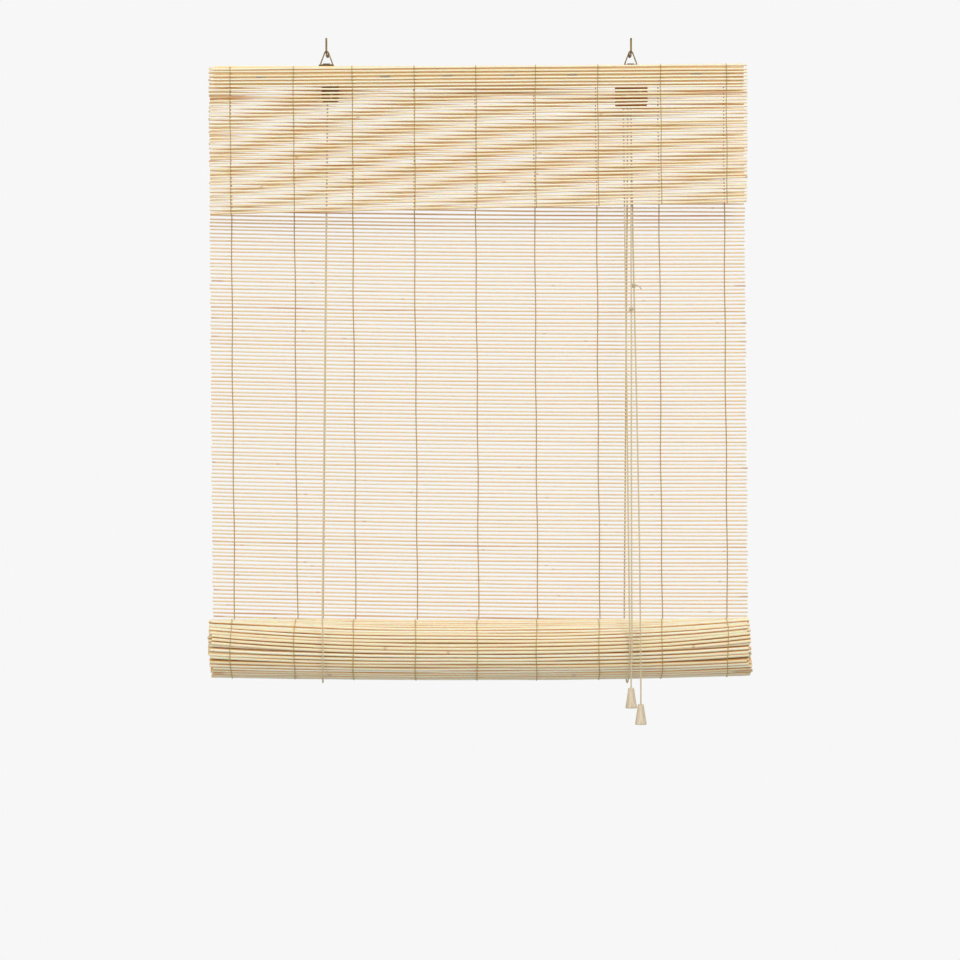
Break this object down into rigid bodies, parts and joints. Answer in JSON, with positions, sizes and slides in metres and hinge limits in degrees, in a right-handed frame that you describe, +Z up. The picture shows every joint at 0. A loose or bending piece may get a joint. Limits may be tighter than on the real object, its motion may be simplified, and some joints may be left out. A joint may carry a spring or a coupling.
{
  "type": "bamboo roll up blind",
  "caption": "Bamboo splint roll up blind hung from wall hooks, with a valance, a roll in cord slings, pulleys, a cord lock and pull cords with wooden tassels.",
  "frame": {"origin": "midway between the two hook screws, on the wall's face", "axes": "+X to the right along the splints, +Y into the wall, +Z up"},
  "size_m": [0.6, 0.1113, 0.7622],
  "materials": {
    "bamboo": "natural split bamboo",
    "pale_wood": "raw sawn softwood",
    "tassel_wood": "satin turned wood",
    "cotton_thread": "twisted cotton",
    "ivory_cord": "braided cotton cord",
    "bronze_sheet": "satin bronze lacquer",
    "brass_wire": "dull aged brass",
    "wheel_brass": "turned brass",
    "steel_wire": "zinc plated"
  },
  "bodies": {
    "headrail_set": {"headrail": "pale_wood", "left_wall_hook": "brass_wire", "right_wall_hook": "brass_wire", "left_hanger_plate": "bronze_sheet", "right_hanger_plate": "bronze_sheet", "hanger_nails": "steel_wire", "hanging_mat": "bamboo", "mat_threads": "cotton_thread", "mat_staples": "steel_wire", "valance": "bamboo", "valance_threads": "cotton_thread", "valance_staples": "steel_wire", "left_pulley_bracket": "bronze_sheet", "left_pulley_axle": "steel_wire", "cord_lock_housing": "bronze_sheet", "lock_axle": "steel_wire", "lock_pawl_pin": "steel_wire", "bracket_screws": "steel_wire", "left_cord_front_run": "ivory_cord", "left_cord_back_run": "ivory_cord", "left_cord_cross_run": "ivory_cord", "right_cord_front_run": "ivory_cord", "right_cord_back_run": "ivory_cord", "right_cord_over_wheel": "ivory_cord", "cord_anchor_staples": "steel_wire", "left_pull_cord": "ivory_cord", "right_pull_cord": "ivory_cord"},
    "left_ring": {"left_hanger_ring": "brass_wire"},
    "right_ring": {"right_hanger_ring": "brass_wire"},
    "left_wheel": {"left_pulley_wheel": "wheel_brass"},
    "front_wheel": {"lock_front_wheel": "wheel_brass"},
    "rear_wheel": {"lock_rear_wheel": "wheel_brass"},
    "pawl": {"lock_pawl": "steel_wire"},
    "cord_slings": {"left_cord_sling": "ivory_cord", "right_cord_sling": "ivory_cord"},
    "roll": {"mat_roll": "bamboo", "roll_threads": "cotton_thread", "bottom_bar": "pale_wood"},
    "left_tassel_end": {"left_tassel": "tassel_wood", "left_end_knot": "ivory_cord"},
    "right_tassel_end": {"right_tassel": "tassel_wood", "right_end_knot": "ivory_cord"}
  },
  "joints": [
    {"name": "roll_lift", "type": "slide", "parent": "headrail_set", "child": "cord_slings", "axis": [0, 0, 1], "range_m": [0, 0.38], "deforming": ["hanging_mat", "mat_threads", "left_cord_front_run", "right_cord_front_run", "left_cord_back_run", "right_cord_back_run", "left_pull_cord", "right_pull_cord"]},
    {"name": "roll_turn", "type": "hinge", "parent": "cord_slings", "child": "roll", "pos_m": [0, -0.04451, -0.665], "axis": [1, 0, 0], "range_deg": [-580, 0]},
    {"name": "left_tassel_drop", "type": "slide", "parent": "cord_slings", "child": "left_tassel_end", "axis": [0, 0, 1], "range_m": [-1.15, 0]},
    {"name": "right_tassel_drop", "type": "slide", "parent": "cord_slings", "child": "right_tassel_end", "axis": [0, 0, 1], "range_m": [-1.15, 0]},
    {"name": "left_wheel_turn", "type": "hinge", "parent": "headrail_set", "child": "left_wheel", "pos_m": [-0.1646, -0.01458, -0.0487], "axis": [0, 1, 0], "range_deg": [0, 9920]},
    {"name": "front_wheel_turn", "type": "hinge", "parent": "headrail_set", "child": "front_wheel", "pos_m": [0.1658, -0.01978, -0.0487], "axis": [0, 1, 0], "range_deg": [0, 9920]},
    {"name": "rear_wheel_turn", "type": "hinge", "parent": "headrail_set", "child": "rear_wheel", "pos_m": [0.1658, -0.01458, -0.0487], "axis": [0, 1, 0], "range_deg": [0, 9920]},
    {"name": "lock_pawl_swing", "type": "hinge", "parent": "headrail_set", "child": "pawl", "pos_m": [0.18, -0.01718, -0.0447], "axis": [0, -1, 0], "range_deg": [0, 25]},
    {"name": "left_ring_swing", "type": "hinge", "parent": "headrail_set", "child": "left_ring", "pos_m": [-0.17, -0.016, -0.013], "axis": [1, 0, 0], "range_deg": [-8, 8]},
    {"name": "right_ring_swing", "type": "hinge", "parent": "headrail_set", "child": "right_ring", "pos_m": [0.17, -0.016, -0.013], "axis": [1, 0, 0], "range_deg": [-8, 8]}
  ],
  "couplings": [
    {"joint": "roll_turn", "follows": "roll_lift", "rad_per_m": -26.518},
    {"joint": "left_tassel_drop", "follows": "roll_lift", "ratio": -3},
    {"joint": "right_tassel_drop", "follows": "roll_lift", "ratio": -3},
    {"joint": "left_wheel_turn", "follows": "roll_lift", "rad_per_m": 454.55},
    {"joint": "front_wheel_turn", "follows": "roll_lift", "rad_per_m": 454.55},
    {"joint": "rear_wheel_turn", "follows": "roll_lift", "rad_per_m": 454.55}
  ]
}
